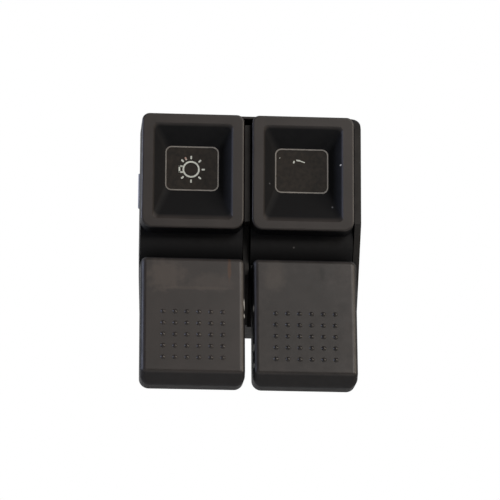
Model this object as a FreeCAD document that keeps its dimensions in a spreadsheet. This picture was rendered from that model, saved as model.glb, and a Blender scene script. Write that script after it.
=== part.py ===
import FreeCAD, Part
import math
import os

from FreeCAD import Vector
from Sketcher import Constraint

DOC = FreeCAD.newDocument("headlight_switch")

# Twin rocker headlight switch for a car dashboard, in millimetres.
# +X is to the right of the dashboard, +Y into the dashboard, +Z up.
# The origin is the middle of the flange's rear face, which seats on the dashboard.
# Depths in front of that face are positive "forward" sizes, and those behind it are
# positive "behind" sizes.

# Driving dimensions: name, value, meaning
SIZES = [
    ("flange_width", 54.3, "flange, left to right"),
    ("flange_height", 52.1, "flange, bottom to top"),
    ("flange_thickness", 2.0, "flange and bulkhead plate"),
    ("flange_corner", 2.2, "flange corner radius"),
    ("rim_thickness", 1.6, "side rim beside the right key"),
    ("rim_forward", 13.5, "front of the side rim"),
    ("rim_foot_rise", 3.05, "foot of the sloping rim above the flange's bottom edge"),
    ("rim_knee_z", -1.8, "height where the rim's front edge starts to slope back"),
    ("lip_thickness", 0.6, "top lip over the keys"),
    ("lip_forward", 11.0, "front of the top lip"),
    ("web_thickness", 1.4, "web between the two keys"),
    ("web_drop", 2.4, "notch between the top lip and the web"),
    ("web_low_forward", 9.0, "front of the web below the key frames"),
    ("key_gap", 0.3, "clearance between a key and the housing"),
    ("key_overhang", 0.6, "left key past the flange's left edge"),
    ("key_wall", 1.3, "key wall"),
    ("key_rear_forward", 3.2, "rear edge of the key's skirt"),
    ("frame_height", 29.4, "upper frame of the key"),
    ("frame_forward", 15.5, "front face of the key's upper frame"),
    ("frame_corner_top", 1.9, "upper corner radius of the frame"),
    ("frame_corner_low", 2.8, "lower corner radius of the frame"),
    ("frame_round", 0.5, "rounding round the frame's face"),
    ("waist_setback", 4.0, "depth of the waist behind the frame's face"),
    ("waist_draft", 5.0, "draft of the frame's lower wall, degrees"),
    ("frame_side", 2.8, "frame beside the recess mouth"),
    ("opening_height", 24.7, "recess mouth, bottom to top"),
    ("opening_drop", 2.45, "recess mouth below the frame's top edge"),
    ("opening_corner", 1.2, "recess mouth corner radius"),
    ("window_inset", 3.25, "window in from the recess mouth, each side"),
    ("window_height", 11.5, "window, bottom to top"),
    ("window_drop", 7.2, "window below the frame's top edge"),
    ("window_corner", 1.6, "window corner radius"),
    ("recess_depth", 4.6, "window behind the frame's face"),
    ("recess_wall", 1.2, "wall of the funnel recess"),
    ("barrel_radius", 6.5, "round waist of the key about its pivot"),
    ("pivot_z", -6.4, "height of the pivot"),
    ("pad_top_z", -12.8, "top edge of the finger pad"),
    ("pad_height", 32.2, "finger pad, bottom to top"),
    ("pad_stand", 4.3, "pad's top edge in front of the frame's face"),
    ("pad_tilt", 7.0, "lean of the pad's face, degrees"),
    ("pad_depth", 8.0, "depth of the pad's skirt"),
    ("pad_round", 1.4, "rounding along the pad's sides and top"),
    ("pad_corner_top", 1.4, "upper corner radius of the pad"),
    ("pad_corner_low", 2.4, "lower corner radius of the pad"),
    ("pad_bevel_height", 3.0, "bevel along the pad's bottom edge"),
    ("pad_bevel_depth", 2.5, "how far the bevel falls back"),
    ("pad_bevel_round", 1.0, "rounding between the pad's face and the bevel"),
    ("cheek_low_z", -14.4, "lowest point of the key's cheek behind the pad"),
    ("knee_z", -26.0, "height where the pad's skirt reaches its full depth"),
    ("dome_radius", 0.6, "grip dome radius"),
    ("dome_height", 0.34, "grip dome height"),
    ("dome_margin", 5.475, "outermost grip domes in from the pad's side"),
    ("dome_pitch_z", 2.935, "grip dome spacing, up and down"),
    ("dome_columns", 6, "grip domes in a row"),
    ("dome_rows", 5, "rows of grip domes"),
    ("dome_first_drop", 14.2, "first row of domes below the pad's top edge"),
    ("trunnion_radius", 2.0, "moulded pivot stub of the key"),
    ("trunnion_gap", 0.05, "running clearance round the pivot stub"),
    ("ear_thickness", 2.0, "bearing ear of the housing"),
    ("ear_wall", 1.9, "ear wall round its bearing hole"),
    ("arm_length", 12.0, "pivot to the centre of the arm's tip"),
    ("arm_tip_radius", 1.5, "rounded tip of the key's rear arm"),
    ("arm_half_height", 0.9, "half the height of the arm's neck"),
    ("arm_width", 3.0, "arm, left to right"),
    ("arm_stroke", 2.1, "travel of the arm's tip, up"),
    ("slot_gap", 0.6, "clearance of the arm in the bulkhead slot"),
    ("seat_side", 2.25, "flange's seat beside the body"),
    ("seat_end", 2.75, "flange's seat above and below the body"),
    ("cell_sink", 0.2, "floor of the body's cells in front of the flange's seat"),
    ("box_depth", 22.0, "body behind the flange, to its open rear edge"),
    ("box_wall", 1.6, "wall of the body"),
    ("box_corner", 1.5, "corner radius of the body"),
    ("boss_radius", 3.0, "screw boss"),
    ("boss_inset", 4.2, "screw boss in from the body's inner wall"),
    ("slide_gap", 0.1, "clearance of the contact slider in its guides"),
    ("slider_width", 8.0, "contact slider, left to right"),
    ("slider_height", 10.0, "contact slider, bottom to top"),
    ("slider_depth", 9.0, "contact slider, front to back"),
    ("guide_thickness", 1.2, "guide rib beside the slider"),
    ("guide_height", 16.0, "guide rib, bottom to top"),
    ("guide_depth", 4.0, "guide rib, front to back"),
    ("bridge_thickness", 0.4, "contact strip"),
    ("bridge_bump", 0.5, "contact bump on the strip"),
    ("detent_depth", 0.6, "depth of the slider's detent notches"),
    ("detent_half", 0.85, "half the height of a detent notch"),
    ("detent_strip", 0.35, "thickness of the detent spring"),
    ("detent_width", 3.0, "width of the detent spring, front to back"),
    ("blade_width", 2.8, "terminal blade width"),
    ("blade_thickness", 0.8, "terminal blade thickness"),
    ("blade_length", 22.0, "terminal blade length"),
    ("blade_foot", 2.6, "contact foot of a terminal"),
    ("blade_spacing_x", 5.0, "terminals of one key, side to side"),
    ("blade_spacing_z", 7.0, "terminals of one key, up and down"),
    ("cover_thickness", 2.0, "rear cover plate"),
    ("cover_lip", 2.0, "locating lip of the rear cover"),
    ("cover_gap", 0.2, "clearance of the locating lip"),
    ("shroud_side_gap", 1.45, "outermost terminals to the shroud's inner side"),
    ("shroud_end_gap", 1.3, "terminals to the shroud's inner top and bottom"),
    ("shroud_depth", 12.0, "connector shroud behind the cover"),
    ("shroud_wall", 1.4, "connector shroud wall"),
    ("shroud_corner", 1.2, "connector shroud corner radius"),
    ("bulb_radius", 2.5, "glass of the lamp bulb"),
    ("bulb_forward", 5.6, "tip of the bulb in front of the flange's rear face"),
    ("bulb_stem_radius", 2.1, "wedge end of the bulb"),
    ("bulb_behind", 9.0, "rear end of the bulb"),
    ("bulb_gap", 0.4, "clearance of the bulb in the bulkhead"),
    ("holder_radius", 4.4, "bulb holder barrel"),
    ("holder_collar", 5.4, "bulb holder collar radius"),
    ("holder_collar_depth", 1.6, "bulb holder collar thickness"),
    ("holder_depth", 13.0, "bulb holder, front to back"),
    ("holder_grip", 1.3, "bulb holder's finger grip"),
    ("guide_rim", 0.3, "light border round the symbol plate"),
    ("light_guide_depth", 2.6, "light guide, front to back"),
    ("light_guide_step", 0.8, "rear step of the light guide"),
    ("plate_depth", 0.8, "symbol plate thickness"),
    ("plate_sink", 0.1, "symbol plate behind the border's front edge"),
    ("fit_gap", 0.02, "clearance between pieces pushed together"),
    ("clip_thickness", 0.5, "retaining clip sheet"),
    ("clip_width", 9.0, "retaining clip, up and down"),
    ("clip_barb", 2.4, "how far the clip's barb stands out"),
    ("clip_seat", 2.6, "barb behind the flange, a sheet of the dashboard between"),
    ("clip_leaf", 7.0, "length of the clip's sprung leaf"),
    ("clip_fold", 1.2, "clip end folded over the body's rear edge"),
    ("clip_z", 10.0, "retaining clip above the middle"),
    ("screw_head_radius", 2.4, "cover screw head"),
    ("screw_head_height", 1.7, "cover screw head height"),
    ("screw_radius", 1.25, "cover screw shank"),
    ("screw_length", 8.0, "cover screw under its head"),
    ("screw_hole_gap", 0.2, "clearance of the screw in the cover"),
]


class Size:
    """A number together with the sheet expression that gives it, kept in step through sums."""

    def __init__(self, value, text=None):
        self.value = float(value)
        self.text = repr(self.value) if text is None else text

    def joined(self, other, sign, value):
        return Size(value, f"({self.text} {sign} {as_size(other).text})")

    def __add__(self, other):
        return self.joined(other, "+", self.value + as_size(other).value)

    def __sub__(self, other):
        return self.joined(other, "-", self.value - as_size(other).value)

    def __mul__(self, other):
        return self.joined(other, "*", self.value * as_size(other).value)

    def __truediv__(self, other):
        return self.joined(other, "/", self.value / as_size(other).value)

    def __radd__(self, other):
        return as_size(other) + self

    def __rsub__(self, other):
        return as_size(other) - self

    def __rmul__(self, other):
        return as_size(other) * self

    def __neg__(self):
        return Size(-self.value, f"(-1 * {self.text})")


def as_size(number):
    return number if isinstance(number, Size) else Size(number)


def tangent(angle):
    return Size(math.tan(math.radians(angle.value)), f"tan({angle.text} * 1deg)")


def cosine(angle):
    return Size(math.cos(math.radians(angle.value)), f"cos({angle.text} * 1deg)")


def other_leg(hypotenuse, leg):
    """The third side of a right-angled triangle."""
    value = math.sqrt(hypotenuse.value ** 2 - leg.value ** 2)
    return Size(value, f"sqrt({hypotenuse.text} ^ 2 - {leg.text} ^ 2)")


class Named:
    """The driving dimensions by name."""


def make_sheet():
    sheet = DOC.addObject("Spreadsheet::Sheet", "Sizes")
    named = Named()
    for row, (name, value, meaning) in enumerate(SIZES, start=1):
        sheet.set(f"A{row}", meaning)
        sheet.set(f"B{row}", str(value))
        sheet.setAlias(f"B{row}", name)
        setattr(named, name, Size(value, f"Sizes.{name}"))
    DOC.recompute()
    return named


S = make_sheet()

# Heights and depths that several pieces share
RIM_OUTER_X = S.flange_width / 2
KEYS_SPAN = S.flange_width + S.key_overhang - S.rim_thickness - S.key_gap
BETWEEN_KEYS = 2 * S.key_gap + S.web_thickness
KEY_WIDTH = (KEYS_SPAN - BETWEEN_KEYS) / 2
KEY_PITCH = KEY_WIDTH + BETWEEN_KEYS
RIGHT_KEY_X = RIM_OUTER_X - S.rim_thickness - S.key_gap - KEY_WIDTH / 2
LEFT_KEY_X = RIGHT_KEY_X - KEY_PITCH
WEB_X = RIGHT_KEY_X - KEY_PITCH / 2
FRAME_TOP = S.flange_height / 2 - S.lip_thickness - S.key_gap
FRAME_LOW = FRAME_TOP - S.frame_height
RIM_FOOT_Z = S.rim_foot_rise - S.flange_height / 2
OPENING_WIDTH = KEY_WIDTH - 2 * S.frame_side
WINDOW_WIDTH = OPENING_WIDTH - 2 * S.window_inset
DOME_PITCH_X = (KEY_WIDTH - 2 * S.dome_margin) / (S.dome_columns - 1)
OPENING_TOP = FRAME_TOP - S.opening_drop
WINDOW_TOP = FRAME_TOP - S.window_drop
WINDOW_Z = WINDOW_TOP - S.window_height / 2
WINDOW_FORWARD = S.frame_forward - S.recess_depth
WAIST_FORWARD = S.frame_forward - S.waist_setback
PIVOT_FORWARD = WAIST_FORWARD - S.barrel_radius
PIVOT_Z = S.pivot_z
INNER_HALF = KEY_WIDTH / 2 - S.key_wall
PAD_FORWARD = S.frame_forward + S.pad_stand
PAD_LOW = S.pad_top_z - S.pad_height
ARM_TIP_BEHIND = S.arm_length - PIVOT_FORWARD
BOX_WIDTH = S.flange_width - 2 * S.seat_side
BOX_HEIGHT = S.flange_height - 2 * S.seat_end
BOSS_Z = BOX_HEIGHT / 2 - S.box_wall - S.boss_inset
FLOOR_BEHIND = -S.cell_sink
COVER_BEHIND = S.box_depth + S.cover_thickness
SLIDER_BEHIND = FLOOR_BEHIND + S.slide_gap
BRIDGE_BEHIND = SLIDER_BEHIND + S.slider_depth
SPRING_BEHIND = FLOOR_BEHIND + S.guide_depth + S.slide_gap
CONTACT_BEHIND = BRIDGE_BEHIND + S.bridge_thickness + S.bridge_bump + S.slide_gap
KEYS = (("left", LEFT_KEY_X), ("right", RIGHT_KEY_X))


def bind(feature, prop, size):
    feature.setExpression(prop, as_size(size).text)


def new_body(label):
    body = DOC.addObject("PartDesign::Body", label)
    body.Label = label
    return body


def place(body, x=None, behind=None, height=None):
    for axis, size in (("x", x), ("y", behind), ("z", height)):
        if size is not None:
            bind(body, f".Placement.Base.{axis}", size)


def new_sketch(body, name, role, offset=None):
    """An empty sketch on one of the body's own planes, moved along the plane's normal."""
    sketch = body.newObject("Sketcher::SketchObject", name)
    plane = next(item for item in body.Origin.OriginFeatures if item.Role == role)
    sketch.AttachmentSupport = [(plane, "")]
    sketch.MapMode = "FlatFace"
    if offset is not None:
        bind(sketch, ".AttachmentOffset.Base.z", offset)
    return sketch


def pin_point(sketch, curve, end, across, up):
    """Holds a curve's end at a place measured from the sketch's origin."""
    for kind, size in (("DistanceX", across), ("DistanceY", up)):
        row = sketch.addConstraint(Constraint(kind, curve, end, as_size(size).value))
        bind(sketch, f"Constraints[{row}]", size)


def add_outline(sketch, points):
    """A closed outline. A point is (across, up), or (across, up, radius) where an arc of that
    radius leads on to the next point, turning left for a positive radius."""
    count = len(points)
    flat = [(as_size(point[0]).value, as_size(point[1]).value) for point in points]
    curves = []
    for index, point in enumerate(points):
        start = Vector(*flat[index], 0)
        end = Vector(*flat[(index + 1) % count], 0)
        if len(point) == 3:
            curves.append(add_arc(sketch, start, end, point[2]))
        else:
            curves.append(sketch.addGeometry(Part.LineSegment(start, end)))
    for index, point in enumerate(points):
        before = points[index - 1]
        curve, start_end = curves[index], end_codes(point)[0]
        pin_point(sketch, curve, start_end, point[0], point[1])
        sketch.addConstraint(
            Constraint("Coincident", curves[index - 1], end_codes(before)[1], curve, start_end))
    return curves


def end_codes(point):
    """Which end of its curve an outline point starts at, and which end leads on."""
    clockwise = len(point) == 3 and as_size(point[2]).value < 0
    return (2, 1) if clockwise else (1, 2)


def add_arc(sketch, start, end, radius):
    size = as_size(radius)
    reach = abs(size.value)
    chord = end - start
    side = Vector(-chord.y, chord.x, 0).normalize()
    rise = math.sqrt(max(reach ** 2 - (chord.Length / 2) ** 2, 0))
    turn = 1 if size.value > 0 else -1
    centre = (start + end) * 0.5 + side * rise * turn
    first, last = (start, end) if turn > 0 else (end, start)
    angles = [math.atan2(point.y - centre.y, point.x - centre.x) for point in (first, last)]
    circle = Part.Circle(centre, Vector(0, 0, 1), reach)
    curve = sketch.addGeometry(Part.ArcOfCircle(circle, angles[0], angles[1]))
    row = sketch.addConstraint(Constraint("Radius", curve, reach))
    bind(sketch, f"Constraints[{row}]", size if turn > 0 else -size)
    return curve


def add_circle(sketch, across, up, radius):
    centre = Vector(as_size(across).value, as_size(up).value, 0)
    curve = sketch.addGeometry(Part.Circle(centre, Vector(0, 0, 1), as_size(radius).value))
    pin_point(sketch, curve, 3, across, up)
    row = sketch.addConstraint(Constraint("Radius", curve, as_size(radius).value))
    bind(sketch, f"Constraints[{row}]", radius)


def add_rectangle(sketch, left, right, low, high, corner=None, low_corner=None):
    """A rectangle, with its upper and lower corners rounded if radii are given."""
    if corner is None:
        add_outline(sketch, [(left, low), (right, low), (right, high), (left, high)])
        return
    below = corner if low_corner is None else low_corner
    add_outline(sketch, [
        (left + below, low),
        (right - below, low, below),
        (right, low + below),
        (right, high - corner, corner),
        (right - corner, high),
        (left + corner, high, corner),
        (left, high - corner),
        (left, low + below, below),
    ])


def centred(width):
    return -width / 2, width / 2


def pad(body, name, sketch, length, rearward=False, midplane=False):
    feature = body.newObject("PartDesign::Pad", name)
    feature.Profile = sketch
    feature.SideType = "Symmetric" if midplane else "One side"
    feature.Reversed = rearward
    bind(feature, "Length", length)
    return feature


def pocket(body, name, sketch, length=None, forward=False, midplane=False):
    """Cuts a sketch's outline out, through everything if no length is given."""
    before = solid_volume(body)
    feature = body.newObject("PartDesign::Pocket", name)
    feature.Profile = sketch
    feature.SideType = "Symmetric" if midplane else "One side"
    feature.Reversed = forward
    if length is None:
        feature.Type = "ThroughAll"
    else:
        bind(feature, "Length", length)
    if solid_volume(body) >= before - 1e-6:
        raise ValueError(f"{body.Label}: {name} cuts nothing")
    return feature


def solid_volume(body):
    DOC.recompute()
    return body.Shape.Volume


def dress(body, kind, name, size, chosen):
    """Rounds or bevels the edges that a test picks by their middle and direction."""
    DOC.recompute()
    base = body.Tip
    names = []
    for index, edge in enumerate(base.Shape.Edges, start=1):
        first, last = edge.ParameterRange
        middle = edge.valueAt((first + last) / 2)
        chord = edge.valueAt(last * 0.51 + first * 0.49) - edge.valueAt(last * 0.49 + first * 0.51)
        if chord.Length > 1e-6 and chosen(middle, chord.normalize()):
            names.append(f"Edge{index}")
    if not names:
        raise ValueError(f"{body.Label}: no edge for {name}")
    feature = body.newObject(f"PartDesign::{kind}", name)
    feature.Base = (base, names)
    bind(feature, "Radius" if kind == "Fillet" else "Size", size)
    DOC.recompute()
    return feature


def fillet(body, name, radius, chosen):
    return dress(body, "Fillet", name, radius, chosen)


def chamfer(body, name, size, chosen):
    return dress(body, "Chamfer", name, size, chosen)


def loft(body, name, first, second, cut=False):
    kind = "PartDesign::SubtractiveLoft" if cut else "PartDesign::AdditiveLoft"
    feature = body.newObject(kind, name)
    feature.Profile = first
    feature.Sections = [second]
    feature.Ruled = True
    return feature


def revolve(body, name, points):
    """Turns a half outline, given as (behind, radius), about the front-to-back axis."""
    sketch = new_sketch(body, f"{name}_outline", "YZ_Plane")
    add_outline(sketch, points)
    feature = body.newObject("PartDesign::Revolution", name)
    feature.Profile = sketch
    feature.ReferenceAxis = (sketch, ["H_Axis"])
    feature.Angle = 360
    return feature


def near(value, size, room=0.01):
    return abs(value - as_size(size).value) < room


# The key: one moulding with the funnel recess, the round waist and the finger pad

def pad_face(height):
    """Forward place of the pad's leaning face at a height."""
    return PAD_FORWARD + tangent(S.pad_tilt) * (S.pad_top_z - height)


def key_side_outline():
    """Side outline of the key without the frame's front, as (behind, height)."""
    barrel_low = S.pad_top_z - PIVOT_Z
    barrel_end = PIVOT_FORWARD + other_leg(S.barrel_radius, barrel_low)
    bevel_z = PAD_LOW + S.pad_bevel_height
    return [
        (-S.key_rear_forward, FRAME_TOP),
        (-WAIST_FORWARD, FRAME_TOP),
        (-WAIST_FORWARD, PIVOT_Z, S.barrel_radius),
        (-barrel_end, S.pad_top_z),
        (-PAD_FORWARD, S.pad_top_z),
        (-pad_face(bevel_z), bevel_z),
        (-pad_face(bevel_z) + S.pad_bevel_depth, PAD_LOW),
        (-pad_face(PAD_LOW) + S.pad_depth, PAD_LOW),
        (-pad_face(S.knee_z) + S.pad_depth, S.knee_z),
        (-PIVOT_FORWARD, S.cheek_low_z),
        (-S.key_rear_forward, PIVOT_Z - S.trunnion_radius),
    ]


def cut_frame_cavity(body):
    """Hollow behind the frame and round the pivot, open to the rear."""
    inner_radius = S.barrel_radius - S.key_wall
    outside = -S.key_rear_forward + 1
    sketch = new_sketch(body, "frame_cavity_outline", "YZ_Plane")
    add_outline(sketch, [
        (outside, FRAME_TOP - S.key_wall),
        (-S.frame_forward + S.key_wall, FRAME_TOP - S.key_wall),
        (-S.frame_forward + S.key_wall, FRAME_LOW + S.key_wall),
        (-WAIST_FORWARD + S.key_wall, FRAME_LOW + S.key_wall),
        (-WAIST_FORWARD + S.key_wall, PIVOT_Z, inner_radius),
        (-PIVOT_FORWARD, PIVOT_Z - inner_radius),
        (outside, PIVOT_Z - inner_radius),
    ])
    pocket(body, "frame_cavity", sketch, 2 * INNER_HALF, midplane=True)


def cut_pad_cavity(body):
    """Hollow behind the finger pad, open to the rear."""
    top = S.pad_top_z - S.key_wall
    low = PAD_LOW + S.key_wall
    bevel_z = PAD_LOW + S.pad_bevel_height + S.key_wall / 2
    skin = S.key_wall / cosine(S.pad_tilt)
    sketch = new_sketch(body, "pad_cavity_outline", "YZ_Plane")
    add_outline(sketch, [
        (-pad_face(top) + skin, top),
        (-pad_face(bevel_z) + skin, bevel_z),
        (-pad_face(bevel_z) + skin + S.pad_bevel_depth * 0.7, low),
        (-pad_face(low) + S.pad_depth + 2, low),
        (-PIVOT_FORWARD + 2, top),
    ])
    pocket(body, "pad_cavity", sketch, 2 * INNER_HALF, midplane=True)


def add_frame_front(body):
    """The frame's front block, a little deeper at its drafted lower wall."""
    left, right = centred(KEY_WIDTH)
    drop = S.waist_setback * tangent(S.waist_draft)
    face = new_sketch(body, "frame_face_outline", "XZ_Plane", S.frame_forward)
    add_rectangle(face, left, right, FRAME_LOW, FRAME_TOP, S.frame_corner_top, S.frame_corner_low)
    foot = new_sketch(body, "frame_foot_outline", "XZ_Plane", WAIST_FORWARD)
    add_rectangle(foot, left, right, FRAME_LOW - drop, FRAME_TOP, S.frame_corner_top, S.frame_corner_low)
    loft(body, "frame_front", face, foot)


def recess_outline(body, name, forward, grow, mouth):
    """Rounded outline of the funnel at its mouth or at its window, grown by a wall."""
    if mouth:
        width, height, top = OPENING_WIDTH, S.opening_height, OPENING_TOP
        corner = S.opening_corner
    else:
        width, height, top = WINDOW_WIDTH, S.window_height, WINDOW_TOP
        corner = S.window_corner
    left, right = centred(width + 2 * grow)
    sketch = new_sketch(body, name, "XZ_Plane", forward)
    add_rectangle(sketch, left, right, top - height - grow, top + grow, corner + grow)
    return sketch


def add_funnel(body):
    """The recess: a tapering shell inside the frame, its funnel, and the window hole."""
    shell_mouth = recess_outline(body, "shell_mouth", S.frame_forward - S.key_wall, S.recess_wall, True)
    shell_foot = recess_outline(body, "shell_foot", WINDOW_FORWARD - S.recess_wall, S.recess_wall, False)
    loft(body, "funnel_shell", shell_mouth, shell_foot)
    mouth = recess_outline(body, "funnel_mouth", S.frame_forward, Size(0), True)
    foot = recess_outline(body, "funnel_foot", WINDOW_FORWARD, Size(0), False)
    loft(body, "funnel", mouth, foot, cut=True)
    hole = recess_outline(body, "window_outline", WINDOW_FORWARD, Size(0), False)
    pocket(body, "window_hole", hole, 2 * S.recess_wall)


def round_pad(body):
    """Corner cuts and roundings of the finger pad."""
    half = KEY_WIDTH / 2
    sketch = new_sketch(body, "pad_corners", "XZ_Plane", PAD_FORWARD + S.pad_height)
    for side in (-1, 1):
        edge = side * half
        low_in = side * (half - S.pad_corner_low)
        add_outline(sketch, [
            (edge, PAD_LOW),
            (edge, PAD_LOW + S.pad_corner_low, S.pad_corner_low * -side),
            (low_in, PAD_LOW),
        ])
    pocket(body, "pad_low_corners", sketch)
    deep = PAD_FORWARD + S.pad_height - (WAIST_FORWARD + S.key_wall)
    tops = new_sketch(body, "pad_top_corners_outline", "XZ_Plane", PAD_FORWARD + S.pad_height)
    for side in (-1, 1):
        edge = side * half
        add_outline(tops, [
            (edge, S.pad_top_z),
            (side * (half - S.pad_corner_top), S.pad_top_z, S.pad_corner_top * -side),
            (edge, S.pad_top_z - S.pad_corner_top),
        ])
    pocket(body, "pad_top_corners", tops, deep)
    bevel_z = PAD_LOW + S.pad_bevel_height
    fillet(body, "bevel_round", S.pad_bevel_round,
           lambda at, along: near(at.z, bevel_z) and near(abs(along.x), 1) and at.y < -PAD_FORWARD.value)
    front = -(PAD_FORWARD - S.pad_bevel_round).value
    limit = -(WAIST_FORWARD + S.pad_stand + S.key_wall).value
    fillet(body, "pad_round", S.pad_round,
           lambda at, along: on_pad_rim(at, front, limit))


def on_pad_rim(at, front, limit):
    """True for the edges round the pad's face and bevel."""
    face = -pad_face(Size(at.z)).value
    at_face = abs(at.y - face) < 0.02
    bevel_z = (PAD_LOW + S.pad_bevel_height).value
    on_bevel = at.z < bevel_z + 0.5 and at.y < limit and at.z > PAD_LOW.value + 0.02
    across = abs(at.x) > (KEY_WIDTH / 2 - S.pad_corner_low).value - 0.01
    top = near(at.z, S.pad_top_z) and at.y < front
    return (at_face and across) or top or (on_bevel and across)


def add_domes(body):
    """Rows of raised grip domes on the pad's leaning face."""
    first_z = S.pad_top_z - S.dome_first_drop * cosine(S.pad_tilt)
    sketch = new_sketch(body, "dome_outline", "YZ_Plane")
    bind(sketch, ".AttachmentOffset.Base.x", -pad_face(first_z))
    bind(sketch, ".AttachmentOffset.Base.y", first_z)
    bind(sketch, ".AttachmentOffset.Base.z", -DOME_PITCH_X * (S.dome_columns - 1) / 2)
    sketch.setExpression(".AttachmentOffset.Rotation.Angle", f"{(-S.pad_tilt).text} * 1deg")
    cap = (S.dome_radius * S.dome_radius + S.dome_height * S.dome_height) / (2 * S.dome_height)
    root = S.key_wall / 2
    add_outline(sketch, [
        (-S.dome_height, Size(0)),
        (root, Size(0)),
        (root, S.dome_radius),
        (Size(0), S.dome_radius, cap),
    ])
    dome = body.newObject("PartDesign::Revolution", "dome")
    dome.Profile = sketch
    dome.ReferenceAxis = (sketch, ["H_Axis"])
    dome.Angle = 360
    DOC.recompute()
    rows = body.newObject("PartDesign::LinearPattern", "dome_rows")
    rows.Originals = [dome]
    rows.Direction = (sketch, ["V_Axis"])
    rows.Reversed = True
    bind(rows, "Length", S.dome_pitch_z * (S.dome_rows - 1))
    bind(rows, "Occurrences", S.dome_rows)
    rows.Direction2 = (sketch, ["N_Axis"])
    bind(rows, "Length2", DOME_PITCH_X * (S.dome_columns - 1))
    bind(rows, "Occurrences2", S.dome_columns)
    body.Tip = rows


def add_trunnions(body):
    """Pivot stubs on the inner faces of the key's cheeks."""
    reach = S.key_gap + S.ear_thickness
    for name, side in (("left", -1), ("right", 1)):
        sketch = new_sketch(body, f"{name}_trunnion_outline", "YZ_Plane", side * INNER_HALF)
        add_circle(sketch, -PIVOT_FORWARD, PIVOT_Z, S.trunnion_radius)
        pad(body, f"{name}_trunnion", sketch, reach, rearward=(side > 0))


def add_arm(body):
    """The arm that reaches back through the bulkhead to move the contact slider."""
    inner_radius = S.barrel_radius - S.key_wall / 2
    neck = S.arm_half_height
    tip = other_leg(S.arm_tip_radius, neck)
    root = 2 * S.trunnion_radius
    sketch = new_sketch(body, "arm_outline", "YZ_Plane")
    add_outline(sketch, [
        (-PIVOT_FORWARD - inner_radius, PIVOT_Z - neck),
        (-PIVOT_FORWARD - neck, PIVOT_Z - root),
        (-S.key_rear_forward, PIVOT_Z - neck),
        (ARM_TIP_BEHIND - tip, PIVOT_Z - neck, S.arm_tip_radius),
        (ARM_TIP_BEHIND + S.arm_tip_radius, PIVOT_Z, S.arm_tip_radius),
        (ARM_TIP_BEHIND - tip, PIVOT_Z + neck),
        (-PIVOT_FORWARD - inner_radius, PIVOT_Z + neck),
    ])
    pad(body, "arm", sketch, S.arm_width, midplane=True)


def make_key(side, x):
    body = new_body(f"{side}_key")
    outline = new_sketch(body, "side_outline", "YZ_Plane")
    add_outline(outline, key_side_outline())
    pad(body, "core", outline, KEY_WIDTH, midplane=True)
    top = FRAME_TOP
    fillet(body, "core_round", S.frame_corner_top,
           lambda at, along: near(at.z, top) and near(abs(along.y), 1))
    round_pad(body)
    add_frame_front(body)
    face = -S.frame_forward
    fillet(body, "frame_rounding", S.frame_round,
           lambda at, along: near(at.y, face) and near(along.y, 0))
    cut_frame_cavity(body)
    cut_pad_cavity(body)
    add_funnel(body)
    add_trunnions(body)
    add_arm(body)
    add_domes(body)
    place(body, x)


# What the key carries at its window

def rounded_block(body, name, forward, length, grow):
    """A plate with the window's outline, grown or shrunk, from a forward place rearward."""
    outline = recess_outline(body, f"{name}_outline", forward, grow, False)
    pad(body, name, outline, length, rearward=True)


def make_light_guide(side, x):
    """Clear block in the window, whose front rim is the light border."""
    body = new_body(f"{side}_light_guide")
    rounded_block(body, "block", WINDOW_FORWARD, S.light_guide_depth, -S.fit_gap)
    step_forward = WINDOW_FORWARD - S.recess_wall - S.fit_gap
    step_depth = S.light_guide_depth - S.recess_wall - S.fit_gap
    rounded_block(body, "step", step_forward, step_depth, S.light_guide_step)
    seat = recess_outline(body, "plate_seat_outline", WINDOW_FORWARD, -S.fit_gap - S.guide_rim, False)
    pocket(body, "plate_seat", seat, S.plate_depth + S.plate_sink)
    place(body, x)


def make_symbol_plate(side, x):
    """Dark smoked plate inside the border, on which the symbol is printed."""
    body = new_body(f"{side}_symbol_plate")
    grow = -S.guide_rim - 2 * S.fit_gap
    rounded_block(body, "plate", WINDOW_FORWARD - S.plate_sink, S.plate_depth, grow)
    place(body, x)


# The housing: flange, body, rim, lip, web, bearing ears and guides

def rim_outline():
    """Side outline of the rim, as (behind, height)."""
    return [
        (-S.flange_thickness, RIM_FOOT_Z),
        (-S.flange_thickness, S.flange_height / 2),
        (-S.lip_forward, S.flange_height / 2),
        (-S.rim_forward, OPENING_TOP),
        (-S.rim_forward, S.rim_knee_z),
    ]


def web_outline():
    """Side outline of the web between the keys."""
    top = FRAME_TOP + S.key_gap - S.web_drop
    return [
        (-S.flange_thickness, -S.flange_height / 2),
        (-S.flange_thickness, top),
        (-S.rim_forward, top),
        (-S.rim_forward, S.rim_knee_z),
        (-S.web_low_forward, S.rim_knee_z),
        (-S.web_low_forward, S.cheek_low_z),
        (-2 * S.flange_thickness, -S.flange_height / 2),
    ]


def add_plate(body, name, outline, x, thickness):
    """A plate across X at a place x, from a side outline."""
    sketch = new_sketch(body, f"{name}_outline", "YZ_Plane", x - thickness / 2)
    add_outline(sketch, outline)
    return pad(body, name, sketch, thickness)


def add_ear(body, name, x):
    """A bearing ear with its hole, standing on the bulkhead."""
    head = S.trunnion_radius + S.trunnion_gap + S.ear_wall
    sketch = new_sketch(body, f"{name}_outline", "YZ_Plane", x - S.ear_thickness / 2)
    add_outline(sketch, [
        (-S.flange_thickness, PIVOT_Z - head),
        (-S.flange_thickness, PIVOT_Z + head),
        (-PIVOT_FORWARD, PIVOT_Z + head, head),
        (-PIVOT_FORWARD - head, PIVOT_Z, head),
        (-PIVOT_FORWARD, PIVOT_Z - head),
    ])
    add_circle(sketch, -PIVOT_FORWARD, PIVOT_Z, S.trunnion_radius + S.trunnion_gap)
    pad(body, name, sketch, S.ear_thickness)


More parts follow.
